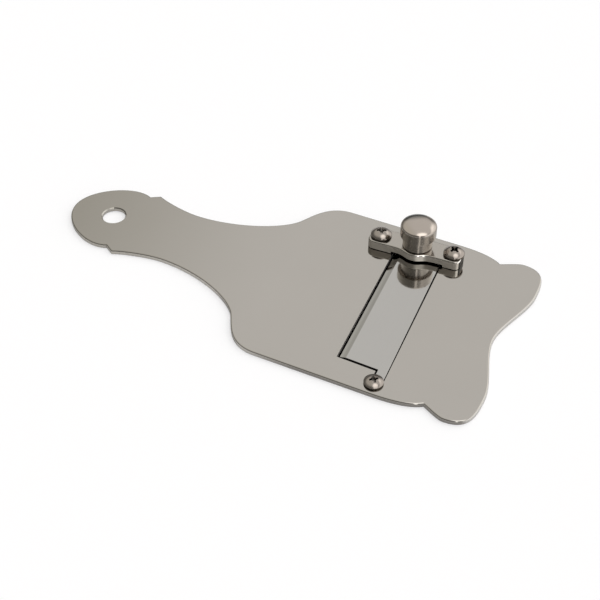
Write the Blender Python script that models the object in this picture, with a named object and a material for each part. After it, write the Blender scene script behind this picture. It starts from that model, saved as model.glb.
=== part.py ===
"""Truffle slicer.

A flat steel plate with a slanted window. A thin blade lies in the window, held at
its foot by a pivot screw. At its far end a bush on the blade runs on the stud of a
turned knob, which a bridge over the window holds down. Turning the knob lifts the
blade's far end, and so sets how thick it slices.

The origin is the middle of the plate's underside, +X points to the eared front
and +Z up. All sizes are in metres.
"""
import math

import bmesh
import bpy
from mathutils import Matrix, Vector

MM = 0.001

# Play between pieces that touch or turn in each other
FIT = 0.25 * MM

# Plate, lengths along X from the hanging end to the ears
PLATE_THICKNESS = 2.0 * MM
END_LENGTH = 27.0 * MM
END_STEP_LENGTH = 3.9 * MM
WAIST_BACK_LENGTH = 21.5 * MM
WAIST_FRONT_LENGTH = 40.2 * MM
SHOULDER_LENGTH = 19.4 * MM
SIDE_LENGTH = 48.5 * MM
CORNER_LENGTH = 20.0 * MM
EAR_BACK_LENGTH = 9.0 * MM
EAR_FRONT_LENGTH = 10.5 * MM
FRONT_HOLLOW = 7.3 * MM

# Plate, half widths along Y at the same places
END_NECK = 18.1 * MM
END_STEP = 20.5 * MM
WAIST = 15.8 * MM
FLARE = 30.3 * MM
BODY = 47.1 * MM
FRONT_NOTCH = 43.1 * MM
EAR = 46.9 * MM
EAR_NOSE = 30.4 * MM

# Plate, directions of the outline where it isn't level, and its rounded edges
END_NECK_ANGLE = -27.0
END_STEP_ANGLE = -26.0
FLARE_ANGLE = 48.0
NOTCH_IN_ANGLE = -35.0
NOTCH_OUT_ANGLE = 24.0
PLATE_TOP_ROUND = 0.75 * MM
PLATE_BOTTOM_ROUND = 0.3 * MM

# Plate, handles of the outline's curves as shares of their chords, leaving and arriving
END_HANDLES = (0.37, 0.31)
WAIST_BACK_HANDLES = (0.22, 0.29)
WAIST_FRONT_HANDLES = (0.37, 0.25)
SHOULDER_HANDLES = (0.22, 0.52)
CORNER_HANDLES = (0.55, 0.2)
EAR_BACK_HANDLES = (0.3, 0.22)
EAR_FRONT_HANDLES = (0.54, 0.42)
HOLLOW_HANDLES = (0.27, 0.3)

# Hanging hole
HANG_HOLE_RADIUS = 5.0 * MM
HANG_HOLE_FROM_TIP = 19.4 * MM
HANG_HOLE_CHAMFER = 0.4 * MM

# Slanted working line of knob, blade and bridge
LEAN = 3.4
KNOB_FROM_FRONT = 53.3 * MM
KNOB_FROM_SIDE = 12.65 * MM

# Window, measured from the knob's axis along and across the slant
WINDOW_BACK = 9.1 * MM
WINDOW_FRONT = 12.05 * MM
THROAT = 1.0 * MM
BLADE_GAP = 0.35 * MM
FOOT_GAP = 1.1 * MM
NECK_GAP = 1.1 * MM
FOOT_FROM_PIVOT = 5.9 * MM
FOOT_TURN = -5.0

# Blade
BLADE_THICKNESS = 1.0 * MM
BLADE_TAIL = 4.6 * MM
BEVEL_WIDTH = 2.6 * MM
EDGE_THICKNESS = 0.12 * MM
NECK_WIDTH = 3.4 * MM
EYE_RADIUS = 3.05 * MM
REST_LIFT = 0.3 * MM

# Pivot screw and the nut set in the underside
PIVOT_FROM_SIDE = 5.45 * MM
PIVOT_SHANK = 2.0 * MM
PIVOT_HEAD = 3.85 * MM
PIVOT_HEAD_HEIGHT = 2.1 * MM
PIVOT_NUT = 4.9 * MM
UNDERSIDE_INSET = 0.1 * MM

# Bridge
BRIDGE_HEIGHT = 4.0 * MM
BRIDGE_HALF_WIDTH = 5.0 * MM
BRIDGE_SWELL = 7.1 * MM
BRIDGE_FILLET = 10.0 * MM
BRIDGE_CORNER = 2.5 * MM
BRIDGE_BACK_END = 4.6 * MM
BRIDGE_FRONT_END = 3.7 * MM
BRIDGE_EDGE_ROUND = 0.8 * MM
RELIEF_HEIGHT = 0.95 * MM
RELIEF_MARGIN = 0.6 * MM
SCREW_WEB = 1.35 * MM

# Bridge screws, and the shares of a head's radius and height that shape any head
SCREW_SHANK = 2.5 * MM
SCREW_HEAD = 4.4 * MM
SCREW_HEAD_HEIGHT = 2.8 * MM
HEAD_RIM = 0.3
RECESS_REACH = 0.52
RECESS_FLOOR = 0.26
RECESS_SLOT = 0.24
RECESS_DEPTH = 0.6
LEFT_SCREW_TURN = 20.0
RIGHT_SCREW_TURN = 60.0
PIVOT_SCREW_TURN = 35.0

# Knob
KNOB_HEIGHT = 12.0 * MM
KNOB_RADIUS = 7.5 * MM
HUB_HEIGHT = 5.25 * MM
HUB_RADIUS = 6.2 * MM
KNOB_CROWN = 18.7 * MM
KNOB_TOP_ROUND = 1.2 * MM
KNOB_CHAMFER = 0.3 * MM

# Stud, its retaining ring and the bush in the blade
STUD_RADIUS = 2.5 * MM
STUD_IN_KNOB = 5.0 * MM
STUD_TIP = 0.4 * MM
GROOVE_DEPTH = 0.5 * MM
RING_THICKNESS = 0.6 * MM
RING_WIDTH = 1.5 * MM
RING_OPENING = 60.0
BUSH_RADIUS = 3.5 * MM
BUSH_FLANGE = 4.5 * MM
BUSH_FLANGE_THICKNESS = 0.5 * MM

# Facets
ROUND_SIDES = 48
HOLE_SIDES = 40
CURVE_STEPS = 12

# Places that follow from the sizes above
PLATE_LENGTH = (END_LENGTH + END_STEP_LENGTH + WAIST_BACK_LENGTH + WAIST_FRONT_LENGTH
                + SHOULDER_LENGTH + SIDE_LENGTH + CORNER_LENGTH + EAR_BACK_LENGTH
                + EAR_FRONT_LENGTH)
TIP_X = -PLATE_LENGTH / 2
KNOB = Vector((PLATE_LENGTH / 2 - KNOB_FROM_FRONT, BODY - KNOB_FROM_SIDE, 0))
SLANT = math.radians(LEAN)
POCKET_RADIUS = EYE_RADIUS + BLADE_GAP
PIVOT_ACROSS = WINDOW_FRONT - POCKET_RADIUS
SCREW_OFFSET = WINDOW_FRONT + SCREW_WEB + SCREW_SHANK
BLADE_BOTTOM = PLATE_THICKNESS - BLADE_THICKNESS
HINGE_HEIGHT = PLATE_THICKNESS - BLADE_THICKNESS / 2
BRIDGE_BOTTOM = PLATE_THICKNESS + FIT
BRIDGE_TOP = BRIDGE_BOTTOM + BRIDGE_HEIGHT
RELIEF_TOP = BRIDGE_BOTTOM + RELIEF_HEIGHT
RING_TOP = RELIEF_TOP + RING_THICKNESS + FIT
KNOB_BOTTOM = BRIDGE_TOP + FIT
STUD_TOP = KNOB_BOTTOM + STUD_IN_KNOB
PIVOT_DROP = PIVOT_FROM_SIDE - BODY - KNOB.y
PIVOT_ALONG = (PIVOT_DROP - PIVOT_ACROSS * math.sin(SLANT)) / math.cos(SLANT)
PIVOT = KNOB + Matrix.Rotation(SLANT, 3, "Z") @ Vector((PIVOT_ACROSS, PIVOT_ALONG, 0))
REST_TILT = math.asin(REST_LIFT / -PIVOT_ALONG)


def polar(centre, radius, degrees):
    """Point on a circle."""
    angle = math.radians(degrees)
    return Vector((centre[0] + radius * math.cos(angle), centre[1] + radius * math.sin(angle)))


def arc(centre, radius, start, end, steps):
    """Points of an arc from one angle in degrees to another, both ends included."""
    return [polar(centre, radius, start + (end - start) * i / steps) for i in range(steps + 1)]


def bezier(start, start_angle, end, end_angle, handles, steps):
    """Points of a cubic curve, without its last one. Its handles are shares of the chord."""
    chord = (end - start).length
    near = polar(start, handles[0] * chord, start_angle)
    far = polar(end, -handles[1] * chord, end_angle)
    points = []
    for i in range(steps):
        t = i / steps
        s = 1 - t
        points.append(s**3 * start + 3 * s * s * t * near + 3 * s * t * t * far + t**3 * end)
    return points


def plate_outline():
    """Outline of the plate: one half drawn from the tip to the ears, then mirrored."""
    x = TIP_X
    tip = Vector((x, 0))
    x += END_LENGTH
    neck = Vector((x, END_NECK))
    x += END_STEP_LENGTH
    step = Vector((x, END_STEP))
    x += WAIST_BACK_LENGTH
    waist = Vector((x, WAIST))
    x += WAIST_FRONT_LENGTH
    flare = Vector((x, FLARE))
    x += SHOULDER_LENGTH
    side_start = Vector((x, BODY))
    x += SIDE_LENGTH
    side_end = Vector((x, BODY))
    x += CORNER_LENGTH
    notch = Vector((x, FRONT_NOTCH))
    x += EAR_BACK_LENGTH
    ear = Vector((x, EAR))
    x += EAR_FRONT_LENGTH
    nose = Vector((x, EAR_NOSE))
    hollow = Vector((x - FRONT_HOLLOW, 0))
    few = CURVE_STEPS // 2
    half = bezier(tip, 90, neck, END_NECK_ANGLE, END_HANDLES, CURVE_STEPS)
    half += [neck]
    half += bezier(step, END_STEP_ANGLE, waist, 0, WAIST_BACK_HANDLES, few)
    half += bezier(waist, 0, flare, FLARE_ANGLE, WAIST_FRONT_HANDLES, CURVE_STEPS)
    half += bezier(flare, FLARE_ANGLE, side_start, 0, SHOULDER_HANDLES, CURVE_STEPS)
    half += [side_start]
    half += bezier(side_end, 0, notch, NOTCH_IN_ANGLE, CORNER_HANDLES, few)
    half += bezier(notch, NOTCH_OUT_ANGLE, ear, 0, EAR_BACK_HANDLES, few)
    half += bezier(ear, 0, nose, -90, EAR_FRONT_HANDLES, CURVE_STEPS)
    half += bezier(nose, -90, hollow, -90, HOLLOW_HANDLES, CURVE_STEPS)
    half += [hollow]
    mirrored = [Vector((p.x, -p.y)) for p in reversed(half[1:-1])]
    return half + mirrored


def foot_point(across, gap):
    """Point of the window's foot, which isn't square to the slant."""
    drop = (across - PIVOT_ACROSS) * math.tan(math.radians(FOOT_TURN))
    return Vector((across, PIVOT_ALONG + FOOT_FROM_PIVOT + drop + gap))


def slot_outline(back, front, tail, neck_width, eye_radius, foot_gap):
    """Outline that the window and the blade share: a long slot, a neck and a round eye."""
    centre = (PIVOT_ACROSS, PIVOT_ALONG)
    neck = front - neck_width
    end = math.degrees(math.acos((neck - PIVOT_ACROSS) / eye_radius)) - 360
    outline = [Vector((back, tail)), Vector((front, tail))]
    outline += arc(centre, eye_radius, 0, end, HOLE_SIDES - 4)
    outline += [foot_point(neck, foot_gap), foot_point(back, foot_gap)]
    return outline


def window_outline():
    return slot_outline(-WINDOW_BACK, WINDOW_FRONT, BLADE_TAIL + BLADE_GAP,
                        NECK_WIDTH + NECK_GAP + BLADE_GAP, POCKET_RADIUS, 0)


def blade_outline():
    return slot_outline(THROAT - WINDOW_BACK, WINDOW_FRONT - BLADE_GAP, BLADE_TAIL,
                        NECK_WIDTH, EYE_RADIUS, FOOT_GAP)


def bridge_outline():
    """Straight bar with rounded corners that swells to a circle round the knob."""
    back = BRIDGE_CORNER - SCREW_OFFSET - BRIDGE_BACK_END
    front = SCREW_OFFSET + BRIDGE_FRONT_END - BRIDGE_CORNER
    corner_y = BRIDGE_HALF_WIDTH - BRIDGE_CORNER
    fillet_y = BRIDGE_HALF_WIDTH + BRIDGE_FILLET
    reach = BRIDGE_SWELL + BRIDGE_FILLET
    fillet_x = math.sqrt(reach**2 - fillet_y**2)
    turn = math.degrees(math.atan2(fillet_y, fillet_x))
    few = CURVE_STEPS // 2
    outline = arc((front, -corner_y), BRIDGE_CORNER, -90, 0, few)
    outline += arc((front, corner_y), BRIDGE_CORNER, 0, 90, few)
    outline += arc((fillet_x, fillet_y), BRIDGE_FILLET, -90, turn - 180, few)
    outline += arc((0, 0), BRIDGE_SWELL, turn, 180 - turn, CURVE_STEPS)
    outline += arc((-fillet_x, fillet_y), BRIDGE_FILLET, -turn, -90, few)
    outline += arc((back, corner_y), BRIDGE_CORNER, 90, 180, few)
    outline += arc((back, -corner_y), BRIDGE_CORNER, 180, 270, few)
    outline += arc((-fillet_x, -fillet_y), BRIDGE_FILLET, 90, turn, few)
    outline += arc((0, 0), BRIDGE_SWELL, 180 + turn, 360 - turn, CURVE_STEPS)
    outline += arc((fillet_x, -fillet_y), BRIDGE_FILLET, 180 - turn, 90, few)
    return without_repeats(outline)


def without_repeats(points):
    """Leaves out a point that lies on the one before it."""
    kept = []
    for p in points:
        if not kept or (p - kept[-1]).length > 0.001 * MM:
            kept.append(p)
    return kept


def prism(outline, bottom, top):
    """Mesh of an outline raised from one height to another."""
    bm = bmesh.new()
    ring = [bm.verts.new((p[0], p[1], bottom)) for p in outline]
    face = bm.faces.new(ring)
    raised = bmesh.ops.extrude_face_region(bm, geom=[face])
    for item in raised["geom"]:
        if isinstance(item, bmesh.types.BMVert):
            item.co.z = top
    bmesh.ops.recalc_face_normals(bm, faces=bm.faces)
    return bm


def round_edges(bm, height, radius, segments):
    """Rounds the level edges of a prism at one height."""
    edges = []
    for edge in bm.edges:
        if all(abs(v.co.z - height) < 0.01 * MM for v in edge.verts):
            edges.append(edge)
    bmesh.ops.bevel(bm, geom=edges, offset=radius, segments=segments, profile=0.5,
                    affect="EDGES")


def turned(profile, sides, opening=0.0):
    """Mesh of a closed profile of radius and height pairs, turned about Z."""
    bm = bmesh.new()
    ring = [bm.verts.new((radius, 0, height)) for radius, height in profile]
    edges = [bm.edges.new((a, b)) for a, b in zip(ring, ring[1:] + ring[:1])]
    angle = math.tau - math.radians(opening)
    if opening:
        face = bm.faces.new(ring)
        bmesh.ops.spin(bm, geom=[face], axis=(0, 0, 1), cent=(0, 0, 0),
                       angle=angle, steps=sides)
    else:
        bmesh.ops.spin(bm, geom=edges, axis=(0, 0, 1), cent=(0, 0, 0),
                       angle=angle, steps=sides, use_merge=True)
    bmesh.ops.remove_doubles(bm, verts=bm.verts, dist=0.001 * MM)
    bmesh.ops.dissolve_degenerate(bm, edges=bm.edges, dist=0.001 * MM)
    bmesh.ops.recalc_face_normals(bm, faces=bm.faces)
    return bm


def add_object(name, bm, parent, material):
    """Object of a mesh, shaded smooth with crisp corners."""
    mesh = bpy.data.meshes.new(name)
    bm.to_mesh(mesh)
    bm.free()
    mesh.shade_smooth()
    mesh.set_sharp_from_angle(angle=math.radians(30))
    obj = bpy.data.objects.new(name, mesh)
    bpy.context.scene.collection.objects.link(obj)
    obj.parent = parent
    if material:
        mesh.materials.append(material)
    return obj


def add_empty(name, location, rotation):
    empty = bpy.data.objects.new(name, None)
    empty.location = location
    empty.rotation_euler = rotation
    bpy.context.scene.collection.objects.link(empty)
    return empty


def cut(obj, name, bm, parent):
    """Cuts a mesh out of an object and keeps the cutter as a guide."""
    cutter = add_object(name, bm, parent, None)
    cutter.hide_render = True
    cutter.display_type = "WIRE"
    modifier = obj.modifiers.new(name, "BOOLEAN")
    modifier.operation = "DIFFERENCE"
    modifier.solver = "EXACT"
    modifier.object = cutter
    return cutter


def steel(name, colour, roughness):
    material = bpy.data.materials.new(name)
    material.use_nodes = True
    shader = material.node_tree.nodes["Principled BSDF"]
    shader.inputs["Base Color"].default_value = (*colour, 1.0)
    shader.inputs["Roughness"].default_value = roughness
    shader.inputs["Metallic"].default_value = 1.0
    return material


def bore(radius, bottom, top):
    """Mesh of a plain round cutter."""
    return turned([(0, bottom), (radius, bottom), (radius, top), (0, top)], HOLE_SIDES)


def stepped_bore(small, large, bottom, shoulder, top, large_below):
    """Mesh of a cutter with a wider part below or above its shoulder."""
    first = large if large_below else small
    second = small if large_below else large
    return turned([(0, bottom), (first, bottom), (first, shoulder), (second, shoulder),
                   (second, top), (0, top)], HOLE_SIDES)


def make_plate(frame, pivot_frame, material):
    bm = prism(plate_outline(), 0, PLATE_THICKNESS)
    round_edges(bm, PLATE_THICKNESS, PLATE_TOP_ROUND, 3)
    round_edges(bm, 0, PLATE_BOTTOM_ROUND, 2)
    plate = add_object("slicer_plate", bm, None, material)
    past = PLATE_THICKNESS
    cut(plate, "window_cutter", prism(window_outline(), -past, PLATE_THICKNESS + past), frame)
    hole_frame = add_empty("hanging_hole_axis", (TIP_X + HANG_HOLE_FROM_TIP, 0, 0), (0, 0, 0))
    wide = HANG_HOLE_RADIUS + HANG_HOLE_CHAMFER + past
    low = -past
    high = PLATE_THICKNESS + past
    chamfered = turned([(0, low), (wide, low), (HANG_HOLE_RADIUS, HANG_HOLE_CHAMFER),
                        (HANG_HOLE_RADIUS, PLATE_THICKNESS - HANG_HOLE_CHAMFER),
                        (wide, high), (0, high)], HOLE_SIDES)
    cut(plate, "hanging_hole_cutter", chamfered, hole_frame)
    seat = stepped_bore(POCKET_RADIUS, PIVOT_NUT + FIT, -past, BLADE_BOTTOM - FIT,
                        BLADE_BOTTOM, True)
    cut(plate, "pivot_seat_cutter", seat, pivot_frame)
    for side, offset in (("left", -SCREW_OFFSET), ("right", SCREW_OFFSET)):
        hole = bore(SCREW_SHANK + FIT, -past, high)
        cutter = cut(plate, "tapped_hole_cutter_" + side, hole, frame)
        cutter.location.x = offset
    return plate


def make_blade(hinge, material):
    """Blade with its edge along the back side of the window."""
    shift = Vector((-PIVOT_ACROSS, -PIVOT_ALONG))
    outline = [p + shift for p in blade_outline()]
    half = BLADE_THICKNESS / 2
    bm = prism(outline, -half, half)
    edge_x = outline[0].x
    slope = Vector((BLADE_THICKNESS - EDGE_THICKNESS, 0, -BEVEL_WIDTH))
    geometry = bm.verts[:] + bm.edges[:] + bm.faces[:]
    bevel = bmesh.ops.bisect_plane(bm, geom=geometry, dist=0.0001 * MM,
                                   plane_co=(edge_x, 0, EDGE_THICKNESS - half),
                                   plane_no=slope, clear_inner=True)
    rim = [item for item in bevel["geom_cut"] if isinstance(item, bmesh.types.BMEdge)]
    bmesh.ops.edgeloop_fill(bm, edges=rim)
    bmesh.ops.recalc_face_normals(bm, faces=bm.faces)
    blade = add_object("blade", bm, hinge, material)
    past = BLADE_THICKNESS
    cut(blade, "eye_cutter", bore(PIVOT_SHANK + FIT, -past, past), hinge)
    cutter = cut(blade, "bush_cutter", bore(BUSH_RADIUS + FIT, -past, past), hinge)
    cutter.location = (-PIVOT_ACROSS, -PIVOT_ALONG, 0)
    return blade


def make_blade_bush(hinge, material):
    """Flanged bush in the blade's far end, which runs on the stud."""
    half = BLADE_THICKNESS / 2
    hole = STUD_RADIUS + FIT
    seat = -half - FIT
    bottom = seat - BUSH_FLANGE_THICKNESS
    bm = turned([(hole, bottom), (BUSH_FLANGE, bottom), (BUSH_FLANGE, seat),
                 (BUSH_RADIUS, seat), (BUSH_RADIUS, half), (hole, half)], ROUND_SIDES)
    bush = add_object("blade_bush", bm, hinge, material)
    bush.location = (-PIVOT_ACROSS, -PIVOT_ALONG, 0)
    return bush


def make_bridge(frame, material):
    bm = prism(bridge_outline(), BRIDGE_BOTTOM, BRIDGE_TOP)
    round_edges(bm, BRIDGE_TOP, BRIDGE_EDGE_ROUND, 3)
    bridge = add_object("bridge", bm, frame, material)
    past = BRIDGE_HEIGHT
    reach = BRIDGE_SWELL + past
    low = -(WINDOW_BACK + RELIEF_MARGIN)
    high = WINDOW_FRONT + RELIEF_MARGIN
    relief = [(low, -reach), (high, -reach), (high, reach), (low, reach)]
    cut(bridge, "relief_cutter", prism(relief, BRIDGE_BOTTOM - past, RELIEF_TOP), frame)
    ring_seat = stepped_bore(STUD_RADIUS + FIT, STUD_RADIUS - GROOVE_DEPTH + FIT + RING_WIDTH + FIT,
                             BRIDGE_BOTTOM - past, RING_TOP + FIT, BRIDGE_TOP + past, True)
    cut(bridge, "stud_bore_cutter", ring_seat, frame)
    for side, offset in (("left", -SCREW_OFFSET), ("right", SCREW_OFFSET)):
        hole = bore(SCREW_SHANK + FIT, BRIDGE_BOTTOM - past, BRIDGE_TOP + past)
        cutter = cut(bridge, "screw_hole_cutter_" + side, hole, frame)
        cutter.location.x = offset
    return bridge


def head_profile(radius, height, seat):
    """Outer side of a pan head, from the seat's rim to the top of its dome."""
    rim = seat + HEAD_RIM * height
    rise = height * (1 - HEAD_RIM)
    ball = (radius**2 + rise**2) / (2 * rise)
    sweep = math.degrees(math.asin(radius / ball))
    dome = arc((0, rim + rise - ball), ball, 90 - sweep, 90, CURVE_STEPS // 2)
    return [(radius, seat)] + [(p.x, p.y) for p in dome[:-1]] + [(0, seat + height)]


def recess_cutter(radius, height, seat):
    """Cross recess of a screw head, whose arms get shorter towards the bottom."""
    depth = RECESS_DEPTH * height
    flare = (RECESS_REACH - RECESS_FLOOR) * radius
    half = RECESS_SLOT * radius / 2
    floor = (seat + height - depth, RECESS_FLOOR * radius)
    mouth = (seat + height + depth, RECESS_REACH * radius + flare)
    bm = bmesh.new()
    rings = []
    for z, reach in (floor, mouth):
        ring = []
        for quarter in range(4):
            spin = Matrix.Rotation(quarter * math.pi / 2, 2)
            for corner in ((reach, -half), (reach, half), (half, half)):
                x, y = spin @ Vector(corner)
                ring.append(bm.verts.new((x, y, z)))
        bm.faces.new(ring)
        rings.append(ring)
    low, high = rings
    for i in range(len(low)):
        bm.faces.new((low[i - 1], low[i], high[i], high[i - 1]))
    bmesh.ops.recalc_face_normals(bm, faces=bm.faces)
    return bm


def make_screw(name, frame, offset, turn, radii, heights, material):
    """Pan-head screw: a plain shank, a domed head and its cross recess."""
    shank, head = radii
    tip, seat, head_height = heights
    profile = [(0, tip), (shank, tip), (shank, seat)] + head_profile(head, head_height, seat)
    screw = add_object(name, turned(profile, ROUND_SIDES), frame, material)
    screw.location.x = offset
    screw.rotation_euler.z = math.radians(turn)
    cut(screw, name + "_recess", recess_cutter(head, head_height, seat), screw)
    return screw


def make_pivot_nut(frame, material):
    """Stepped nut set in the underside, its collar under the blade's eye."""
    hole = PIVOT_SHANK + FIT
    bottom = UNDERSIDE_INSET
    collar = BLADE_BOTTOM - FIT
    shoulder = collar - FIT
    bm = turned([(hole, bottom), (PIVOT_NUT, bottom), (PIVOT_NUT, shoulder),
                 (EYE_RADIUS, shoulder), (EYE_RADIUS, collar), (hole, collar)], ROUND_SIDES)
    return add_object("pivot_nut", bm, frame, material)


def make_knob(axis, material):
    """Turned knob: a drum with a domed top and a rounded rim, on a narrower hub."""
    top = KNOB_BOTTOM + KNOB_HEIGHT
    drum = KNOB_BOTTOM + HUB_HEIGHT
    hole = STUD_RADIUS + FIT
    crown_y = top - KNOB_CROWN
    round_x = KNOB_RADIUS - KNOB_TOP_ROUND
    reach = KNOB_CROWN - KNOB_TOP_ROUND
    meet = math.degrees(math.acos(round_x / reach))
    round_y = crown_y + math.sqrt(reach**2 - round_x**2)
    rim = arc((round_x, round_y), KNOB_TOP_ROUND, 0, meet, CURVE_STEPS // 2)
    crown = arc((0, crown_y), KNOB_CROWN, meet, 90, CURVE_STEPS // 3)
    c = KNOB_CHAMFER
    profile = [(hole, KNOB_BOTTOM), (HUB_RADIUS - c, KNOB_BOTTOM), (HUB_RADIUS, KNOB_BOTTOM + c),
               (HUB_RADIUS, drum - c), (HUB_RADIUS + c, drum), (KNOB_RADIUS - c, drum),
               (KNOB_RADIUS, drum + c)]
    profile += [(p.x, p.y) for p in rim + crown[1:-1]]
    profile += [(0, top), (0, STUD_TOP + FIT), (hole, STUD_TOP + FIT)]
    return add_object("adjusting_knob", turned(profile, ROUND_SIDES), axis, material)


def make_stud(axis, material):
    """Stud fixed in the knob, with a groove for its ring."""
    waist = STUD_RADIUS - GROOVE_DEPTH
    groove_top = RING_TOP + FIT
    groove_bottom = RING_TOP - RING_THICKNESS - FIT
    bm = turned([(0, STUD_TIP), (STUD_RADIUS, STUD_TIP), (STUD_RADIUS, groove_bottom),
                 (waist, groove_bottom), (waist, groove_top), (STUD_RADIUS, groove_top),
                 (STUD_RADIUS, STUD_TOP), (0, STUD_TOP)], HOLE_SIDES)
    return add_object("knob_stud", bm, axis, material)


def make_ring(axis, material):
    """Open ring in the stud's groove, which keeps the stud in the bridge."""
    inner = STUD_RADIUS - GROOVE_DEPTH + FIT
    outer = inner + RING_WIDTH
    bottom = RING_TOP - RING_THICKNESS
    bm = turned([(inner, bottom), (outer, bottom), (outer, RING_TOP), (inner, RING_TOP)],
                HOLE_SIDES, RING_OPENING)
    return add_object("stud_retaining_ring", bm, axis, material)


def build():
    for obj in list(bpy.data.objects):
        bpy.data.objects.remove(obj, do_unlink=True)

    plate_steel = steel("plate_steel", (0.42, 0.40, 0.37), 0.28)
    blade_steel = steel("blade_steel", (0.44, 0.43, 0.42), 0.2)
    bright_steel = steel("bright_steel", (0.5, 0.48, 0.45), 0.14)
    screw_steel = steel("screw_steel", (0.46, 0.44, 0.42), 0.12)

    frame = add_empty("bridge_frame", KNOB, (0, 0, SLANT))
    axis = add_empty("knob_axis", KNOB, (0, 0, SLANT))
    pivot_frame = add_empty("pivot_frame", PIVOT, (0, 0, SLANT))
    hinge = add_empty("blade_hinge", PIVOT + Vector((0, 0, HINGE_HEIGHT)), (REST_TILT, 0, SLANT))

    make_plate(frame, pivot_frame, plate_steel)
    make_blade(hinge, blade_steel)
    make_blade_bush(hinge, screw_steel)
    make_bridge(frame, bright_steel)
    radii = (SCREW_SHANK, SCREW_HEAD)
    heights = (UNDERSIDE_INSET, BRIDGE_TOP + FIT, SCREW_HEAD_HEIGHT)
    make_screw("bridge_screw_left", frame, -SCREW_OFFSET, LEFT_SCREW_TURN, radii, heights,
               screw_steel)
    make_screw("bridge_screw_right", frame, SCREW_OFFSET, RIGHT_SCREW_TURN, radii, heights,
               screw_steel)
    radii = (PIVOT_SHANK, PIVOT_HEAD)
    heights = (UNDERSIDE_INSET, PLATE_THICKNESS + FIT, PIVOT_HEAD_HEIGHT)
    make_screw("pivot_screw", pivot_frame, 0, PIVOT_SCREW_TURN, radii, heights, screw_steel)
    make_pivot_nut(pivot_frame, screw_steel)
    make_knob(axis, bright_steel)
    make_stud(axis, screw_steel)
    make_ring(axis, screw_steel)


build()
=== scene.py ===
# %% [markdown]
# # A truffle slicer
# The real thing is a plate of polished sheet steel. A thin blade lies in a slanted
# window, and a knob under a bridge lifts one end of it to set the thickness of a slice.
# The solids of the frame already have the right shapes and places. Here each one that
# shows is built again with finer curves and softer edges, because polished steel
# mirrors every facet, and then it gets its finish.

# %% Load the frame
import math

import bmesh
import bpy
from mathutils import Matrix, Vector


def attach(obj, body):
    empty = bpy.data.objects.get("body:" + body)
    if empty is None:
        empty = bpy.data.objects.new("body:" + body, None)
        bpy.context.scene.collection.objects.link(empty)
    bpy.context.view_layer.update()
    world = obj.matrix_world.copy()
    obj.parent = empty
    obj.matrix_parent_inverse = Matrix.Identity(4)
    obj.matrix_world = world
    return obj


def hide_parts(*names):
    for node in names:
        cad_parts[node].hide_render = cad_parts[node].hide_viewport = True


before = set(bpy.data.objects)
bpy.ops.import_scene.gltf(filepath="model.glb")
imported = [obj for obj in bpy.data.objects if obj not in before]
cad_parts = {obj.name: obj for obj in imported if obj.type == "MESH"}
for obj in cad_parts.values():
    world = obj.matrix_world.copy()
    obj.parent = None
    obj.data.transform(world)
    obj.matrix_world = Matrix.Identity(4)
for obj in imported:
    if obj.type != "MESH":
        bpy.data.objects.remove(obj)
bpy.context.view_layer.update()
MM = 0.001

# %% [markdown]
# ## Where the pieces sit
# The knob, the bridge and the blade share one slanted line across the plate. Its origin
# is the knob's axis, so most sizes of those pieces can be given in that tilted frame.
# The blade has a frame of its own, at its hinge, because its far end is a little raised.
# Light and finishes also need a few directions. The far side is the knob's side of the
# plate, seen from where the picture is taken, and the left is the handle's side.

# %% Shared sizes and directions
SLANT = math.radians(3.4)
KNOB = Vector((46.7, 34.45, 0)) * MM
SHEET = 2.0 * MM
BLADE_SHEET = 1.0 * MM
PLAY = 0.25 * MM
PIVOT_ACROSS = 8.65 * MM
PIVOT_ALONG = -76.7481 * MM
REST_LIFT = 0.3 * MM
SCREW_OFFSET = 15.9 * MM
BRIDGE_TOP = 6.25 * MM
BOLT_BORE = 2.75 * MM
TINY = 0.001 * MM

UP = Vector((0, 0, 1))
FRONT = Vector((1, 0, 0))
FAR_SIDE = Vector((-0.4365, 0.8997, 0))
LEFT = Vector((-0.8997, -0.4365, 0))

slanted = Matrix.Translation(KNOB) @ Matrix.Rotation(SLANT, 4, "Z")
pivot = slanted @ Matrix.Translation((PIVOT_ACROSS, PIVOT_ALONG, 0))
rest_tilt = Matrix.Rotation(math.asin(REST_LIFT / -PIVOT_ALONG), 4, "X")
hinge = pivot @ Matrix.Translation((0, 0, SHEET - BLADE_SHEET / 2)) @ rest_tilt
print("knob at", tuple(round(v / MM, 2) for v in KNOB), "pivot at",
      tuple(round(v / MM, 2) for v in pivot.translation))

# %% [markdown]
# ## Small tools for shaping
# Sheet-metal pieces start as an outline that is raised to a prism. Turned pieces start
# as a profile that is spun round an axis. Holes are cut with Booleans. A bevel and
# weighted normals at the end keep the big faces flat and make the edges catch light.


# %% Points on arcs and curves
def polar(centre, radius, degrees):
    angle = math.radians(degrees)
    return Vector((centre[0] + radius * math.cos(angle), centre[1] + radius * math.sin(angle)))


def arc(centre, radius, start, end, steps):
    return [polar(centre, radius, start + (end - start) * i / steps) for i in range(steps + 1)]


def bezier(start, start_angle, end, end_angle, handles, steps):
    """Points of a cubic curve, without its last one."""
    chord = (end - start).length
    near = polar(start, handles[0] * chord, start_angle)
    far = polar(end, -handles[1] * chord, end_angle)
    points = []
    for i in range(steps):
        t = i / steps
        s = 1 - t
        points.append(s**3 * start + 3 * s * s * t * near + 3 * s * t * t * far + t**3 * end)
    return points


print("quarter circle of radius 1 ends at", tuple(round(v, 3) for v in arc((0, 0), 1, 0, 90, 8)[-1]))


# %% Solids from outlines and profiles
def prism(outline, bottom, top):
    bm = bmesh.new()
    face = bm.faces.new([bm.verts.new((p[0], p[1], bottom)) for p in outline])
    raised = bmesh.ops.extrude_face_region(bm, geom=[face])
    for item in raised["geom"]:
        if isinstance(item, bmesh.types.BMVert):
            item.co.z = top
    bmesh.ops.recalc_face_normals(bm, faces=bm.faces)
    return bm


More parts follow.
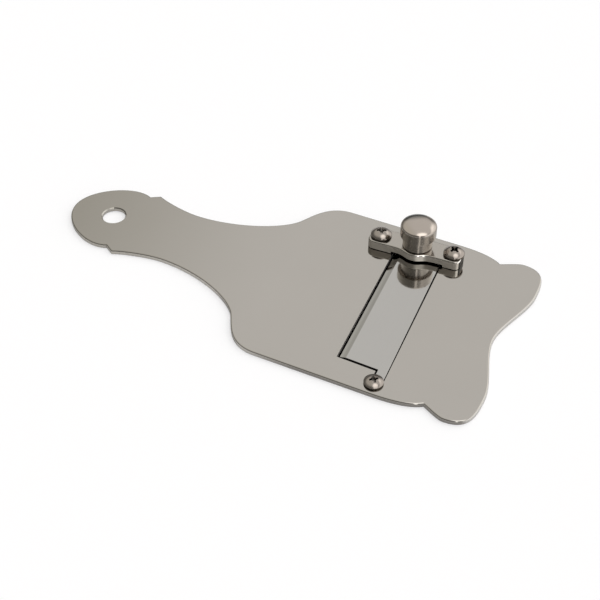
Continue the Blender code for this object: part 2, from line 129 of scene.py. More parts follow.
def turned(profile, sides=128):
    """A closed profile of radius and height pairs, spun about Z."""
    bm = bmesh.new()
    ring = [bm.verts.new((radius, 0, height)) for radius, height in profile]
    edges = [bm.edges.new((a, b)) for a, b in zip(ring, ring[1:] + ring[:1])]
    bmesh.ops.spin(bm, geom=edges, axis=(0, 0, 1), cent=(0, 0, 0), angle=math.tau,
                   steps=sides, use_merge=True)
    bmesh.ops.remove_doubles(bm, verts=bm.verts, dist=TINY)
    bmesh.ops.dissolve_degenerate(bm, edges=bm.edges, dist=TINY)
    bmesh.ops.recalc_face_normals(bm, faces=bm.faces)
    return bm


def round_level_edges(bm, height, radius, segments):
    """Round the edges that lie at one height."""
    edges = []
    for edge in bm.edges:
        if all(abs(v.co.z - height) < 10 * TINY for v in edge.verts):
            edges.append(edge)
    bmesh.ops.bevel(bm, geom=edges, offset=radius, segments=segments, profile=0.5,
                    affect="EDGES")


print("solids start from prisms and turned profiles")


# %% Cutting, softening and placing a piece
def piece(name, bm, place, cutters=(), soft=0.0, soft_angle=50.0, sharp=35.0):
    """An object of a mesh, cut by other meshes, with soft edges, moved to its place."""
    mesh = bpy.data.meshes.new(name)
    bm.to_mesh(mesh)
    bm.free()
    obj = bpy.data.objects.new(name, mesh)
    bpy.context.scene.collection.objects.link(obj)
    tools = []
    for cutter in cutters:
        tool_mesh = bpy.data.meshes.new(name + "_cutter")
        cutter.to_mesh(tool_mesh)
        cutter.free()
        tool = bpy.data.objects.new(name + "_cutter", tool_mesh)
        bpy.context.scene.collection.objects.link(tool)
        cut = obj.modifiers.new("cut", "BOOLEAN")
        cut.operation = "DIFFERENCE"
        cut.solver = "EXACT"
        cut.object = tool
        tools.append(tool)
    if soft:
        bevel = obj.modifiers.new("soft_edges", "BEVEL")
        bevel.width = soft
        bevel.segments = 2
        bevel.limit_method = "ANGLE"
        bevel.angle_limit = math.radians(soft_angle)
        bevel.use_clamp_overlap = True
    depsgraph = bpy.context.evaluated_depsgraph_get()
    shaped = bpy.data.meshes.new_from_object(obj.evaluated_get(depsgraph))
    obj.modifiers.clear()
    obj.data = shaped
    for tool in tools:
        bpy.data.objects.remove(tool)
    shaped.transform(place)
    shaped.shade_smooth()
    shaped.set_sharp_from_angle(angle=math.radians(sharp))
    weighted = obj.modifiers.new("flat_faces", "WEIGHTED_NORMAL")
    weighted.keep_sharp = True
    print(name, "has", len(shaped.polygons), "faces")
    return obj


def bore(radius, bottom, top):
    return turned([(0, bottom), (radius, bottom), (radius, top), (0, top)], 96)


def moved(bm, x, y=0.0):
    bmesh.ops.translate(bm, verts=bm.verts, vec=(x, y, 0))
    return bm


def placed(bm, matrix):
    bm.transform(matrix)
    return bm


print("tools are ready")

# %% [markdown]
# ## The plate
# The real plate is punched from sheet steel, and its rim is ground slightly round. One
# half of the outline is drawn with a few curves from the hanging end to the ears and
# then mirrored. The window, the neck for the blade's foot and the holes are cut out
# afterwards, as a punch would do it.

# %% The plate's outline
STEPS = 36
HALF = {"neck": (-73.0, 18.1), "step": (-69.1, 20.5), "waist": (-47.6, 15.8),
        "flare": (-7.4, 30.3), "side_start": (12.0, 47.1), "side_end": (60.5, 47.1),
        "notch": (80.5, 43.1), "ear": (89.5, 46.9), "nose": (100.0, 30.4)}
at = {key: Vector(value) * MM for key, value in HALF.items()}
tip = Vector((-100.0, 0)) * MM
hollow = Vector((92.7, 0)) * MM

half = bezier(tip, 90, at["neck"], -27, (0.37, 0.31), STEPS) + [at["neck"]]
half += bezier(at["step"], -26, at["waist"], 0, (0.22, 0.29), STEPS)
half += bezier(at["waist"], 0, at["flare"], 48, (0.37, 0.25), STEPS)
half += bezier(at["flare"], 48, at["side_start"], 0, (0.22, 0.52), STEPS) + [at["side_start"]]
half += bezier(at["side_end"], 0, at["notch"], -35, (0.55, 0.2), STEPS)
half += bezier(at["notch"], 24, at["ear"], 0, (0.3, 0.22), STEPS // 3)
half += bezier(at["ear"], 0, at["nose"], -90, (0.54, 0.42), STEPS)
half += bezier(at["nose"], -90, hollow, -90, (0.27, 0.3), STEPS) + [hollow]
plate_outline = half + [Vector((p.x, -p.y)) for p in reversed(half[1:-1])]
print("outline of", len(plate_outline), "points")

# %% [markdown]
# ## The window and the blade's shape
# Window and blade are cut to the same form: a long slot, a narrow neck at its foot and
# a round eye for the pivot screw. One function draws both, and only the gaps differ.


# %% Outline of the window and the blade
EYE = 3.4 * MM
FOOT_HEIGHT = 5.9 * MM
FOOT_LEAN = math.radians(-5.0)


def slot_outline(back, front, tail, neck_width, eye, foot_gap):
    """The slot in the slanted frame, from side to side and from its far end to the eye."""
    neck = front - neck_width
    end = math.degrees(math.acos((neck - PIVOT_ACROSS) / eye)) - 360
    foot = []
    for across in (neck, back):
        drop = (across - PIVOT_ACROSS) * math.tan(FOOT_LEAN)
        foot.append(Vector((across, PIVOT_ALONG + FOOT_HEIGHT + drop + foot_gap)))
    corners = [Vector((back, tail)), Vector((front, tail))]
    return corners + arc((PIVOT_ACROSS, PIVOT_ALONG), eye, 0, end, 80) + foot


window = slot_outline(back=-9.1 * MM, front=12.05 * MM, tail=4.95 * MM,
                      neck_width=4.85 * MM, eye=EYE, foot_gap=0)
blade_outline = slot_outline(back=-8.15 * MM, front=11.35 * MM, tail=4.6 * MM,
                             neck_width=3.4 * MM, eye=3.05 * MM, foot_gap=1.1 * MM)
print("window is", round((window[1] - window[0]).length / MM, 2), "mm wide")

# %% Cut the plate
OVER = 1 * MM
HOLE_X = -80.6 * MM
HOLE_RADIUS = 5.0 * MM
CHAMFER = 0.4 * MM
NUT_RADIUS = 5.15 * MM
NUT_DEPTH = 0.75 * MM

bm = prism(plate_outline, 0, SHEET)
round_level_edges(bm, SHEET, radius=0.75 * MM, segments=6)
round_level_edges(bm, 0, radius=0.3 * MM, segments=3)
mouth = HOLE_RADIUS + CHAMFER + OVER
hole = turned([(0, -OVER), (mouth, -OVER), (HOLE_RADIUS, CHAMFER), (HOLE_RADIUS, SHEET - CHAMFER),
               (mouth, SHEET + OVER), (0, SHEET + OVER)], 96)
nut_seat = turned([(0, -OVER), (NUT_RADIUS, -OVER), (NUT_RADIUS, NUT_DEPTH), (EYE, NUT_DEPTH),
                   (EYE, SHEET / 2), (0, SHEET / 2)], 96)
cutters = [placed(prism(window, -OVER, SHEET + OVER), slanted), moved(hole, HOLE_X),
           placed(nut_seat, pivot)]
for side in (-1, 1):
    through = bore(BOLT_BORE, -OVER, SHEET + OVER)
    cutters.append(placed(moved(through, side * SCREW_OFFSET), slanted))
plate = piece("plate_of_sheet_steel", bm, Matrix.Identity(4), cutters, soft=0.09 * MM)
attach(plate, "body")
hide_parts("slicer_plate")

# %% [markdown]
# ## The blade
# The real blade is ground to an edge along the back side of the window, on its upper
# face only. A plane cuts the wedge off the flat strip. The blade's own frame is at the
# hinge, so the small rest lift of its far end comes with the placing.

# %% Grind and place the blade
EDGE = 0.12 * MM
BEVEL_WIDTH = 2.6 * MM
PIVOT_BORE = 2.25 * MM
BUSH_BORE = 3.75 * MM

shift = Vector((-PIVOT_ACROSS, -PIVOT_ALONG))
half_sheet = BLADE_SHEET / 2
bm = prism([p + shift for p in blade_outline], -half_sheet, half_sheet)
edge_x = (blade_outline[0] + shift).x
everything = bm.verts[:] + bm.edges[:] + bm.faces[:]
cut = bmesh.ops.bisect_plane(bm, geom=everything, dist=0.1 * TINY,
                             plane_co=(edge_x, 0, EDGE - half_sheet),
                             plane_no=(BLADE_SHEET - EDGE, 0, -BEVEL_WIDTH), clear_inner=True)
rim = [item for item in cut["geom_cut"] if isinstance(item, bmesh.types.BMEdge)]
bmesh.ops.edgeloop_fill(bm, edges=rim)
bmesh.ops.recalc_face_normals(bm, faces=bm.faces)
holes = [bore(PIVOT_BORE, -BLADE_SHEET, BLADE_SHEET),
         moved(bore(BUSH_BORE, -BLADE_SHEET, BLADE_SHEET), shift.x, shift.y)]
blade = piece("slicing_blade", bm, hinge, holes, soft=0.05 * MM, soft_angle=60, sharp=12)
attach(blade, "blade")
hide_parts("blade")

# %% [markdown]
# ## The bridge
# The bridge is a bar with rounded corners that swells to a circle under the knob, and
# soft hollows lead from the one to the other. Its underside is relieved over the
# window, so that the blade can rise there.

# %% The bridge's outline
BAR = 5.0 * MM
SWELL = 7.1 * MM
SIDE_HOLLOW = 10.0 * MM
CORNER = 2.5 * MM
back_end = SCREW_OFFSET + 4.6 * MM
front_end = SCREW_OFFSET + 3.7 * MM
hollow_y = BAR + SIDE_HOLLOW
hollow_x = math.sqrt((SWELL + SIDE_HOLLOW)**2 - hollow_y**2)
turn = math.degrees(math.atan2(hollow_y, hollow_x))


def far_side(first_end, second_end):
    """One long side of the bar, from the middle of one end to the middle of the other."""
    points = arc((first_end - CORNER, BAR - CORNER), CORNER, 0, 90, 14)
    points += arc((hollow_x, hollow_y), SIDE_HOLLOW, -90, turn - 180, 14)
    points += arc((0, 0), SWELL, turn, 180 - turn, 30)[1:]
    points += arc((-hollow_x, hollow_y), SIDE_HOLLOW, -turn, -90, 14)[1:]
    return points + arc((CORNER - second_end, BAR - CORNER), CORNER, 90, 180, 14)


bridge_outline = far_side(front_end, back_end) + [-p for p in far_side(back_end, front_end)]
print("bridge is", round((back_end + front_end) / MM, 1), "mm long")

# %% Round, relieve and drill the bridge
RELIEF_BACK = -9.7 * MM
RELIEF_FRONT = 12.65 * MM
RELIEF_REACH = 9 * MM
RELIEF_TOP = 3.2 * MM
RING_SEAT = 4.0 * MM
RING_SEAT_TOP = 4.3 * MM
BELOW = 1 * MM
ABOVE = 9 * MM

bm = prism(bridge_outline, SHEET + PLAY, BRIDGE_TOP)
round_level_edges(bm, BRIDGE_TOP, radius=0.8 * MM, segments=6)
relief = [(RELIEF_BACK, -RELIEF_REACH), (RELIEF_FRONT, -RELIEF_REACH),
          (RELIEF_FRONT, RELIEF_REACH), (RELIEF_BACK, RELIEF_REACH)]
ring_seat = turned([(0, BELOW), (RING_SEAT, BELOW), (RING_SEAT, RING_SEAT_TOP),
                    (BOLT_BORE, RING_SEAT_TOP), (BOLT_BORE, ABOVE), (0, ABOVE)], 96)
cutters = [prism(relief, BELOW, RELIEF_TOP), ring_seat]
for offset in (-SCREW_OFFSET, SCREW_OFFSET):
    cutters.append(moved(bore(BOLT_BORE, BELOW, ABOVE), offset))
bridge = piece("bridge_bar", bm, slanted, cutters, soft=0.12 * MM)
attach(bridge, "body")
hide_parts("bridge")

# %% [markdown]
# ## The knob
# The knob is turned from bar: a narrow hub below and a wider drum above. Its top is a
# shallow dome that bends more and more toward the side, in three arcs. It is one spun
# profile, with small breaks on the corners that a lathe tool leaves.

# %% Turn the knob
KNOB_BOTTOM = BRIDGE_TOP + PLAY
HUB = 6.2 * MM
RADIUS = 7.5 * MM
DOME = 24 * MM
BROW = 6.5 * MM
RIM = 1.2 * MM
BEND = 35
BREAK = 0.3 * MM
NICK = 0.08 * MM

knob_top = KNOB_BOTTOM + 12.0 * MM
hub_top = KNOB_BOTTOM + 5.25 * MM
bend = math.radians(BEND)
reach = RADIUS - BROW * math.sin(bend) - RIM * (1 - math.sin(bend))
tilt = math.asin(reach / (DOME - BROW))
brow = Vector(((DOME - BROW) * math.sin(tilt), knob_top - DOME + (DOME - BROW) * math.cos(tilt)))
rim = brow + Vector((math.sin(bend), math.cos(bend))) * (BROW - RIM)
profile = [(BOLT_BORE, KNOB_BOTTOM), (HUB - BREAK, KNOB_BOTTOM), (HUB, KNOB_BOTTOM + BREAK),
           (HUB, hub_top - BREAK), (HUB + NICK, hub_top - NICK), (HUB + BREAK, hub_top),
           (RADIUS - BREAK, hub_top), (RADIUS - NICK, hub_top + NICK), (RADIUS, hub_top + BREAK)]
meeting = 90 - math.degrees(tilt)
crown = arc(rim, RIM, 0, 90 - BEND, 12) + arc(brow, BROW, 90 - BEND, meeting, 14)[1:]
crown += arc((0, knob_top - DOME), DOME, meeting, 90, 12)[1:-1]
profile += [(p.x, p.y) for p in crown]
profile += [(0, knob_top), (0, hub_top), (BOLT_BORE, hub_top)]
knob = piece("turned_knob", turned(profile, 160), slanted, sharp=40)
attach(knob, "knob")
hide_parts("adjusting_knob")

# %% [markdown]
# ## The screws
# All three are pan heads with a cross recess. The dome is an arc in the profile, and the
# recess is a tapered cross with a round well in its middle, whose mouth gets a small
# soft edge.


# %% A screw with a domed head
def cross(radius, height, seat):
    """A cross that narrows downward, to cut the recess of a screw."""
    depth = 0.6 * height
    half = 0.12 * radius
    bm = bmesh.new()
    rings = []
    for z, reach in ((seat + height - depth, 0.26 * radius), (seat + height + depth, 0.78 * radius)):
        ring = []
        for quarter in range(4):
            spin = Matrix.Rotation(quarter * math.pi / 2, 2)
            for corner in ((reach, -half), (reach, half), (half, half)):
                x, y = spin @ Vector(corner)
                ring.append(bm.verts.new((x, y, z)))
        bm.faces.new(ring)
        rings.append(ring)
    low, high = rings
    for i in range(len(low)):
        bm.faces.new((low[i - 1], low[i], high[i], high[i - 1]))
    bmesh.ops.recalc_face_normals(bm, faces=bm.faces)
    return bm


def screw(name, node, shank, head, height, seat, place, turn):
    """A pan head on a shank, both given by their radius. The head starts at the seat."""
    foot = 0.1 * MM
    corner = 0.12 * MM
    rim = 0.3 * height
    rise = height - rim
    ball = (head**2 + rise**2) / (2 * rise)
    sweep = math.degrees(math.asin(head / ball))
    dome = arc((0, seat + height - ball), ball, 90 - sweep, 90, 20)
    profile = [(0, foot), (shank, foot), (shank, seat), (head - corner, seat),
               (head, seat + corner), (head, seat + rim - corner),
               (head - corner / 3, seat + rim + corner / 3)]
    profile += [(p.x, p.y) for p in dome[1:-1]] + [(0, seat + height)]
    turned_place = place @ Matrix.Rotation(math.radians(turn), 4, "Z")
    well = turned([(0, seat + 0.3 * height), (0.14 * head, seat + 0.34 * height),
                   (0.32 * head, seat + 1.05 * height), (0, seat + 1.05 * height)], 48)
    made = piece(name, turned(profile, 96), turned_place, [cross(head, height, seat), well],
                 soft=0.07 * MM, soft_angle=48)
    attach(made, "body")
    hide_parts(node)
    return made


# %% Set the three screws
screws = []
for name, offset, turn in (("left", -SCREW_OFFSET, 20), ("right", SCREW_OFFSET, 60)):
    place = slanted @ Matrix.Translation((offset, 0, 0))
    screws.append(screw("pan_head_screw_" + name, "bridge_screw_" + name, shank=2.5 * MM,
                        head=4.4 * MM, height=2.8 * MM, seat=BRIDGE_TOP + PLAY, place=place,
                        turn=turn))
screws.append(screw("pan_head_pivot_screw", "pivot_screw", shank=2.0 * MM, head=3.85 * MM,
                    height=2.1 * MM, seat=SHEET + PLAY, place=pivot, turn=35))

# %% [markdown]
# ## Writing shaders as sums
# A small class wraps a socket, so that plain arithmetic on it adds Math nodes. Every
# other node comes from one method, which sets its settings first and its sockets after.
# A few steps come up again and again, so they have short names, such as a smooth ramp,
# a blend of two colours, and how far a vector reaches along a direction.


# %% The wrapper for sockets
class Wire:
    """An output socket that takes part in sums as a number does."""

    def __init__(self, socket):
        self.socket = socket
        self.tree = socket.id_data

    @staticmethod
    def node(tree, kind, settings=None, values=None, output=0):
        """A new node. Its output is given by name or by number."""
        made = tree.nodes.new(kind)
        for key, value in (settings or {}).items():
            setattr(made, key, value)
        for key, value in (values or {}).items():
            if isinstance(value, Wire):
                tree.links.new(value.socket, made.inputs[key])
            else:
                made.inputs[key].default_value = value
        return Wire(made.outputs[output])

    def math(self, operation, *others):
        values = dict(enumerate((self, *others)))
        return Wire.node(self.tree, "ShaderNodeMath", {"operation": operation}, values)

    def __add__(self, other):
        return self.math("ADD", other)

    def __sub__(self, other):
        return self.math("SUBTRACT", other)

    def __mul__(self, other):
        return self.math("MULTIPLY", other)

    def __rsub__(self, other):
        values = {0: other, 1: self}
        return Wire.node(self.tree, "ShaderNodeMath", {"operation": "SUBTRACT"}, values)

    def __neg__(self):
        return self * -1

    __radd__ = __add__
    __rmul__ = __mul__

    def ramp(self, low, high):
        """0 below low, 1 above high, smooth between them."""
        settings = {"interpolation_type": "SMOOTHSTEP"}
        values = {"Value": self, "From Min": low, "From Max": high}
        return Wire.node(self.tree, "ShaderNodeMapRange", settings, values)

    def vector(self, operation, other=(0, 0, 0), output="Vector"):
        values = {0: self, 1: tuple(other)}
        return Wire.node(self.tree, "ShaderNodeVectorMath", {"operation": operation}, values, output)

    def dot(self, direction):
        """How far this vector reaches along a direction."""
        return self.vector("DOT_PRODUCT", direction, "Value")

    def part(self, axis):
        """The X, Y or Z of this vector."""
        return Wire.node(self.tree, "ShaderNodeSeparateXYZ", None, {0: self}, axis)

    def tinted(self, colour):
        """A colour, as strong as this number says."""
        values = {0: colour, "Scale": self}
        return Wire.node(self.tree, "ShaderNodeVectorMath", {"operation": "SCALE"}, values)

    def blend(self, first, second, kind="MIX"):
        """A colour: first where this number is 0, second where it is 1."""
        ends = [end if isinstance(end, Wire) else (*end, 1) for end in (first, second)]
        settings = {"data_type": "RGBA", "blend_type": kind}
        return Wire.node(self.tree, "ShaderNodeMix", settings, {0: self, 6: ends[0], 7: ends[1]}, 2)


print("sockets now add, subtract and multiply")

# %% [markdown]
# ## Steel
# All the steel here is one recipe: a metal whose colour and gloss vary a little, with
# fine lines from the grinding belt or the lathe, faint stray scratches and slightly
# duller patches where it was handled. What differs is the colour, the gloss and which
# way the lines run, so one function makes every finish. The lines are noise, stretched
# by the three scales, and on a turned piece they run round its axis. Corners are worn
# bright. A Bevel node finds them, because its soft normal turns off the true one there.

# %% Amounts that all steel shares
HANDLED = 0.04
SCRATCHED = 0.04
WORN = 0.25
CORNER_REACH = 0.25 * MM
RECESS_REACH = 1.5 * MM
DEEP_SHADE = (0.02, 0.02, 0.02)
print("handling dulls by", HANDLED, "and a worn corner brightens by", WORN)


# %% Noise, and places in a tilted frame
def noise(vector, scale, detail, roughness=0.5):
    values = {"Vector": vector, "Scale": scale, "Detail": detail, "Roughness": roughness}
    return Wire.node(vector.tree, "ShaderNodeTexNoise", None, values)


def across_in(place, spot):
    """How far a spot lies along the first axis of a placing, from its origin."""
    axis = place.col[0].xyz
    return spot.dot(axis) - place.translation.dot(axis)


print("noise and tilted places are ready")

# %% [markdown]
# ## Places with another finish, and painted light and shade
# The rest of the recipe's options are such places. The option for upright faces gives
# their colour and roughness: on the plate that is its duller punched wall, on the blade
# and the screws a dark painted shade, and on the bridge and the knob a lighter colour that
# is partly painted light. The one for the handle is a lighter colour painted on the rim
# along the handle, as a painted reflection. Each row for the way a face turns paints light
# and shade: it is a direction, the two amounts of turning to it between which a face takes
# the row's paint, that colour and its roughness. The bevel's option is a painted shade on
# the slope of the blade's bevel: the two places across the blade between which its colour
# sets in, and the colour. The streak's option is a painted highlight at the middle of the
# bridge's side: its place, the two distances from it between which the highlight fades,
# and that colour. Hollows can take a painted shade, and the last option is how dark a
# painted shade makes the plate toward its tip.


# %% A function for steel finishes
def steel(name, colour, roughness, lines, line_depth, sides=None, axis=None, painted_light_and_shade=(),
          ringed=0.0, recess_shade=False, tip_shade=0.0, handle_rim_light=None, bevel_shade=None, painted_streak=None):
    """Steel whose grinding lines are stretched noise, on the scales given in lines."""
    material = bpy.data.materials.new(name)
    material.use_nodes = True
    tree = material.node_tree
    shader = tree.nodes["Principled BSDF"]
    shader.inputs["Metallic"].default_value = 1.0
    shader.inputs["Anisotropic"].default_value = ringed
    shader.inputs["Anisotropic Rotation"].default_value = 0.25
    spot = Wire.node(tree, "ShaderNodeTexCoord", output="Object")
    normal = Wire.node(tree, "ShaderNodeNewGeometry", output="Normal")
    level = normal.part("Z").math("ABSOLUTE")

    grain = spot
    if axis:
        flat = spot.vector("SUBTRACT", (axis.x, axis.y, 0)).vector("MULTIPLY", (1, 1, 0))
        radius = flat.vector("LENGTH", output="Value")
        grain = Wire.node(tree, "ShaderNodeCombineXYZ", None, {"X": radius, "Z": spot.part("Z")})
    stretched = Wire.node(tree, "ShaderNodeMapping", None, {"Vector": grain, "Scale": lines})
    fine = noise(stretched, 1.0, 3.0, 0.6)
    cloud = noise(spot, 38.0, 4.0, 0.55)
    stray = Wire.node(tree, "ShaderNodeMapping", None,
                      {"Vector": spot, "Rotation": (0.0, 0.0, 0.6), "Scale": (60, 2600, 60)})
    scratches = noise(stray, 1.0, 1.0).ramp(0.70, 0.80) * cloud.ramp(0.45, 0.6)
    rounded = Wire.node(tree, "ShaderNodeBevel", {"samples": 4}, {"Radius": CORNER_REACH})
    same_way = Wire.node(tree, "ShaderNodeVectorMath", {"operation": "DOT_PRODUCT"},
                         {0: normal, 1: rounded}, "Value")
    worn = (1 - same_way).ramp(0.01, 0.2) * cloud.ramp(0.3, 0.6)

    tone = (fine - 0.5) * 0.10 + (cloud - 0.5) * 0.10 + scratches * SCRATCHED + worn * WORN
    darker = tuple(v * 0.78 for v in colour)
    lighter = tuple(min(1.0, v * 1.22) for v in colour)
    base = (tone + 0.5).blend(darker, lighter)
    rough = (fine - 0.5) * 0.06 + cloud.ramp(0.5, 0.75) * HANDLED + scratches * 0.1 + roughness

    # Upright faces take their own colour and roughness: on the plate its duller punched wall, on the
    # blade and the screws a dark painted shade, and on the bridge and the knob a lighter colour that
    # is partly painted light.
    if sides:
        paint, shine = sides
        upright = 1 - level.ramp(0.12, 0.45)
        # Painted reflection: along the handle the plate's rim and its rounding are painted lighter,
        # except on faces turned to the left.
        if handle_rim_light:
            beyond_rim_light = spot.part("X").ramp(0, 32 * MM).math("MAXIMUM", (-normal.part("X")).ramp(0.35, 0.7))
            rounding = (1 - level.ramp(0.35, 0.85)) * (1 - beyond_rim_light)
            base = rounding.blend(base, handle_rim_light)
            paint = beyond_rim_light.blend(handle_rim_light, paint)
        base = upright.blend(base, paint)
        rough = rough + upright * (shine - roughness)
    # Painted light and shade: faces turned to a given direction take a lighter or darker painted
    # colour and another roughness.
    for way, start, end, paint, shine in painted_light_and_shade:
        painted_light_mask = normal.dot(way).ramp(start, end)
        rough = rough + painted_light_mask * (shine - rough)
        base = painted_light_mask.blend(base, paint)
    # Painted shade: the slope of the blade's bevel is painted darker, from one place across the blade
    # on.
    if bevel_shade:
        start, end, paint = bevel_shade
        slope = 1 - level.ramp(0.955, 0.985)
        base = (slope * across_in(hinge, spot).ramp(start, end)).blend(base, paint)
    # Painted highlight: a lighter streak at the middle of the bridge's side and its rounding, fading
    # to each side.
    if painted_streak:
        middle, start, end, paint = painted_streak
        off_middle = (across_in(slanted, spot) - middle).math("ABSOLUTE")
        streak_mask = (1 - off_middle.ramp(start, end)) * (1 - level.ramp(0.7, 0.95))
        base = streak_mask.blend(base, paint)
    # Painted shade: hollows that ambient occlusion finds are painted nearly black.
    if recess_shade:
        open_air = Wire.node(tree, "ShaderNodeAmbientOcclusion",
                             {"samples": 8, "only_local": True}, {"Distance": RECESS_REACH}, "AO")
        base = open_air.ramp(0.45, 0.85).blend(DEEP_SHADE, base)
    # Painted shade: the plate is painted darker toward its tip.
    if tip_shade:
        toward_tip = (-spot.part("X")).ramp(-5 * MM, 118 * MM) * (cloud * 0.4 + 0.8)
        base = toward_tip.blend(base, (tip_shade, tip_shade * 0.99, tip_shade * 0.95), "MULTIPLY")

    bump = Wire.node(tree, "ShaderNodeBump", None,
                     {"Height": fine, "Strength": 1.0, "Distance": line_depth})
    tree.links.new(base.socket, shader.inputs["Base Color"])
    tree.links.new(rough.socket, shader.inputs["Roughness"])
    tree.links.new(bump.socket, shader.inputs["Normal"])
    print(name, "colour", colour, "roughness", roughness)
    return material


def dress(obj, material):
    obj.data.materials.clear()
    obj.data.materials.append(material)


# %% [markdown]
# ## The finishes
# The plate is polished along its length, and its punched rim is duller and darker.
# Along the handle its rim is painted lighter, a painted reflection, and toward the tip the
# plate gets a painted shade. The blade is ground across, with a painted darker shade on
# its bevel and sides painted almost black as shade. The bridge is matt at its sides, which
# are painted lighter, partly as painted light, and it has a painted highlight at the middle
# of its round. The knob has rings round its axis, which stand in for the lathe's marks,
# and its sides are painted lighter, partly as painted light. The screws are bright, with
# a painted dark shade on the rims of their heads and in their recesses. The rows for the
# way a face turns are shades that the real room put there: a light front edge and a
# dark far edge on the plate, light corners and a dark end on the bridge, and a dark line
# along the far rim of the knob's top. They are painted light and shade, so they stay as
# the view changes.

# %% Make and assign the finishes
# The way the far rim of the knob's top turns, which gets a painted dark reflection.
RIM_LEAN = math.radians(57)
far_rim_shade_way = ((FAR_SIDE * 0.97 + LEFT * 0.25).normalized() * math.cos(RIM_LEAN)
           + UP * math.sin(RIM_LEAN))
# The colour of the painted highlights on the bridge's corners and side.
PAINTED_HIGHLIGHT = (0.98, 0.95, 0.9)
# Plate: its upright wall is duller and darker; its rim along the handle has a painted lighter
# reflection, toward the tip a painted shade, and its front and far edges a painted light and a painted
# shade.
plate_finish = steel("polished_sheet", (0.426, 0.405, 0.374), 0.07, (14, 3000, 14), 0.004 * MM,
                     sides=((0.36, 0.34, 0.32), 0.42), tip_shade=0.74, handle_rim_light=(0.72, 0.69, 0.65),
                     painted_light_and_shade=((FRONT, 0.55, 0.85, (0.7, 0.68, 0.65), 0.5),
                             (FAR_SIDE, 0.2, 0.4, (0.33, 0.315, 0.29), 0.12)))
# Blade: sides painted almost black as shade, and a painted darker shade on its bevel.
blade_finish = steel("ground_blade", (0.435, 0.425, 0.405), 0.06, (3000, 30, 30), 0.004 * MM,
                     sides=((0.04, 0.04, 0.04), 0.4),
                     bevel_shade=(-16.2 * MM, -15.1 * MM, (0.36, 0.35, 0.33)))
# Bridge: sides painted lighter, partly as painted light; painted highlights on its front corners, a
# painted dark end and a painted highlight streak on its side.
bridge_finish = steel("polished_bar", (0.40, 0.375, 0.34), 0.12, (120, 3000, 3000), 0.006 * MM,
                      sides=((0.56, 0.53, 0.485), 0.85),
                      painted_light_and_shade=((FRONT, 0.5, 0.66, PAINTED_HIGHLIGHT, 0.25),
                              (FRONT, 0.84, 0.9, (0.03, 0.03, 0.028), 0.5)),
                      painted_streak=(3.2 * MM, 0.8 * MM, 2.8 * MM, PAINTED_HIGHLIGHT))
# Knob: sides painted lighter, partly as painted light, and a painted dark reflection along the far rim
# of its top.
knob_finish = steel("turned_steel", (0.41, 0.365, 0.325), 0.12, (4200, 1, 4200), 0.008 * MM,
                    sides=((0.48, 0.44, 0.395), 0.25), axis=KNOB, ringed=0.85,
                    painted_light_and_shade=((far_rim_shade_way, 0.86, 0.95, (0.12, 0.12, 0.11), 0.12),))
# Screws: the rims of the heads painted dark as shade, and their recesses painted nearly black as
# shade.
screw_finish = steel("bright_screw", (0.32, 0.285, 0.255), 0.15, (900, 900, 900), 0.006 * MM,
                     sides=((0.15, 0.13, 0.11), 0.35), recess_shade=True)
dress(plate, plate_finish)
dress(blade, blade_finish)
dress(bridge, bridge_finish)
dress(knob, knob_finish)
for made in screws:
    dress(made, screw_finish)
hidden_finish = steel("turned_small_parts", (0.4, 0.39, 0.37), 0.25, (200, 200, 4000), 0.03 * MM)
for node in ("knob_stud", "stud_retaining_ring", "blade_bush", "pivot_nut"):
    dress(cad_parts[node], hidden_finish)

# %% [markdown]
# ## The floor
# The slicer lies on a pale sheet. The sheet glows a little for the camera and for
# mirrored rays, so that it reads as white, and the rest of its light is plain diffuse,
# so the soft shadow round the plate stays. Under the window the sheet has no glow and
# is painted black, as a painted shadow, because it is in the dark there.

# %% Lay the floor
HALF_FLOOR = 3.0
FLOOR_Z = -0.02 * MM
WINDOW_MIDDLE = Vector((1.48, -38.0)) * MM
WINDOW_HALF = Vector((10.7, 42.5)) * MM
MIRRORED_GLOW = 0.25

bm = bmesh.new()
bmesh.ops.create_grid(bm, x_segments=2, y_segments=2, size=HALF_FLOOR)
mesh = bpy.data.meshes.new("floor")
bm.to_mesh(mesh)
bm.free()
floor = bpy.data.objects.new("floor", mesh)
floor.location.z = FLOOR_Z
bpy.context.scene.collection.objects.link(floor)
print("floor laid just under the plate")

# %% Give the floor its glow
paper = bpy.data.materials.new("pale_sheet")
paper.use_nodes = True
tree = paper.node_tree
shader = tree.nodes["Principled BSDF"]
shader.inputs["Roughness"].default_value = 0.9
shader.inputs["Specular IOR Level"].default_value = 0.0
shader.inputs["Emission Strength"].default_value = 1.0
camera_ray = Wire.node(tree, "ShaderNodeLightPath", output="Is Camera Ray")
glossy_ray = Wire.node(tree, "ShaderNodeLightPath", output="Is Glossy Ray")
through_ray = Wire.node(tree, "ShaderNodeLightPath", output="Is Transmission Ray")
seen = camera_ray + through_ray + glossy_ray * MIRRORED_GLOW
spot = Wire.node(tree, "ShaderNodeTexCoord", output="Object")
from_knob = Wire.node(tree, "ShaderNodeMapping", {"vector_type": "TEXTURE"},
                      {"Vector": spot, "Location": tuple(KNOB), "Rotation": (0, 0, SLANT)})
# Painted shadow: under the window the sheet loses its glow and its colour.
across = (from_knob.part("X") - WINDOW_MIDDLE.x).math("ABSOLUTE")
along = (from_knob.part("Y") - WINDOW_MIDDLE.y).math("ABSOLUTE")
beyond_painted_shadow = 1 - (across.math("LESS_THAN", WINDOW_HALF.x) * along.math("LESS_THAN", WINDOW_HALF.y))
glow = (seen * beyond_painted_shadow).tinted((0.40, 0.40, 0.41))
sheet = beyond_painted_shadow.tinted((0.62, 0.62, 0.625))
tree.links.new(glow.socket, shader.inputs["Emission Color"])
tree.links.new(sheet.socket, shader.inputs["Base Color"])
floor.data.materials.append(paper)
print("the floor glows for the camera, except under the window")

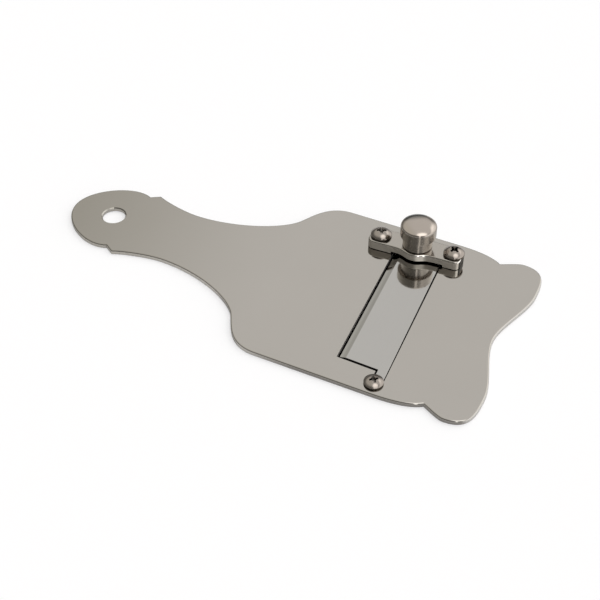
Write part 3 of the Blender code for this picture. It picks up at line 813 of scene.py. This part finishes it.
# %% [markdown]
# ## Studio light
# Polished steel shows the room. A wide white ceiling hangs over the slicer and comes down
# on the side away from the camera, where the plate mirrors it. Below it the room is dim,
# and upright faces and the far flanks of the domes mirror that. A soft box near the
# ceiling's middle gives the highlights on the screws, the knob and the plate's rim, a
# wide one at the right brightens the right flanks, and a narrow strip over the camera
# draws the streaks on the knob. The world makes all of it from the direction of a ray.
# The camera itself sees plain white there, beyond the floor's edge.

# %% The room round the slicer
world = bpy.data.worlds.new("studio")
bpy.context.scene.world = world
world.use_nodes = True
tree = world.node_tree
background = tree.nodes["Background"]
ray = Wire.node(tree, "ShaderNodeTexCoord", output="Generated")
up = ray.dot(UP)
near = ray.dot(-FAR_SIDE)
left = ray.dot(LEFT)
ceiling = ray.dot((UP * 0.92 + FAR_SIDE * 0.39).normalized()).ramp(0.55, 0.80) * 0.74
falloff = 1 - left.ramp(0.02, 0.28) * 0.08
side_box = ((-left).ramp(0.35, 0.6) * near.ramp(-1.0, -0.6) * up.ramp(-0.05, 0.1)
            * (1 - up.ramp(0.66, 0.78)) * 1.1)
strip = ((1 - (left + 0.06).math("ABSOLUTE").ramp(0.03, 0.09)) * near.ramp(0.3, 0.5)
         * (1 - up.ramp(0.75, 0.85)) * 1.6)
soft_box = ray.dot(Vector((0.341, -0.187, 0.921)).normalized()).ramp(0.905, 0.985) * 1.7
room = (0.26 + ceiling) * falloff + side_box + strip + soft_box
tint = left.ramp(0.0, 0.45).blend((1.0, 0.99, 0.975), (1.0, 0.985, 0.92))
seen = Wire.node(tree, "ShaderNodeLightPath", output="Is Camera Ray")
colour = seen.blend(room.tinted(tint), (1, 1, 1))
tree.links.new(colour.socket, background.inputs["Color"])
background.inputs["Strength"].default_value = 1.0
print("the room is lit from above, from the right and from over the camera")

# %% [markdown]
# ## The camera
# The picture is taken with a long lens from the right and above. The camera is placed
# by the point it looks at, two angles and a distance.

# %% Place the camera
AZIMUTH = math.radians(25.88)
ELEVATION = math.radians(43.32)
DISTANCE = 484.2 * MM
LOOK_AT = Vector((14.56, -11.25, 0.15)) * MM

back = Vector((math.sin(AZIMUTH) * math.cos(ELEVATION),
               -math.cos(AZIMUTH) * math.cos(ELEVATION), math.sin(ELEVATION)))
right = Vector((math.cos(AZIMUTH), math.sin(AZIMUTH), 0))
rotation = Matrix((right, back.cross(right), back)).transposed().to_4x4()
camera = bpy.data.objects.new("camera", bpy.data.cameras.new("camera"))
camera.data.lens = 72.0
camera.data.sensor_width = 36.0
camera.data.clip_start = 0.01
camera.matrix_world = Matrix.Translation(LOOK_AT + back * DISTANCE) @ rotation
bpy.context.scene.collection.objects.link(camera)
bpy.context.scene.camera = camera
bpy.context.scene.view_settings.view_transform = "Standard"
print("camera at", tuple(round(v, 3) for v in camera.location))
